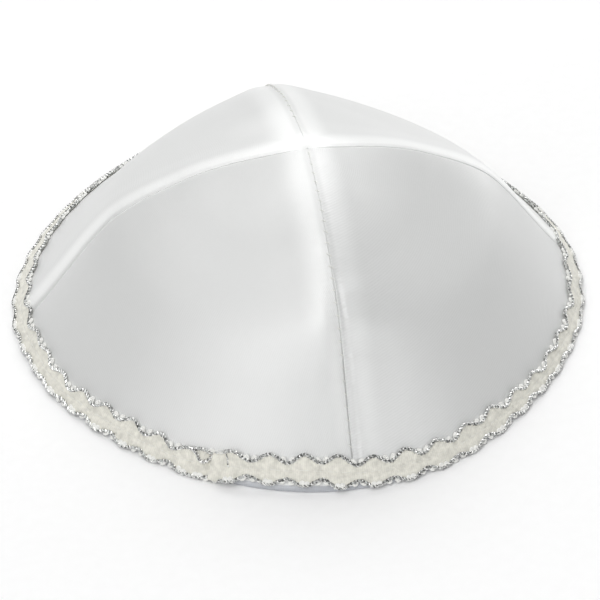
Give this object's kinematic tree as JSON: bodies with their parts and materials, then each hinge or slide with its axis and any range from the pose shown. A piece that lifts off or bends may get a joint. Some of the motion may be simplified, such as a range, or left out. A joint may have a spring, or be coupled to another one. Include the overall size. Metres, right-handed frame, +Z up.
{
  "type": "kippah skullcap",
  "caption": "Shallow round skullcap of white satin gores with crossing seams and a cream woven braid with scalloped silver cord edges sewn round the rim.",
  "frame": {"origin": "centre of the rim on the surface the cap rests on", "axes": "+Z up through the crown; the four seams lie over the X and Y axes; -Y is the front"},
  "size_m": [0.173, 0.1726, 0.0556],
  "materials": {
    "satin": "white polyester satin, smooth sheen",
    "braid": "cream woven ribbon, matte with fine cross ribs",
    "silver_cord": "twisted silver metallic yarn"
  },
  "bodies": {
    "root": {"crown_panel_back_right": "satin", "crown_panel_back_left": "satin", "crown_panel_front_left": "satin", "crown_panel_front_right": "satin", "rim_braid": "braid", "rim_cord_upper": "silver_cord", "rim_cord_lower": "silver_cord"}
  },
  "joints": []
}
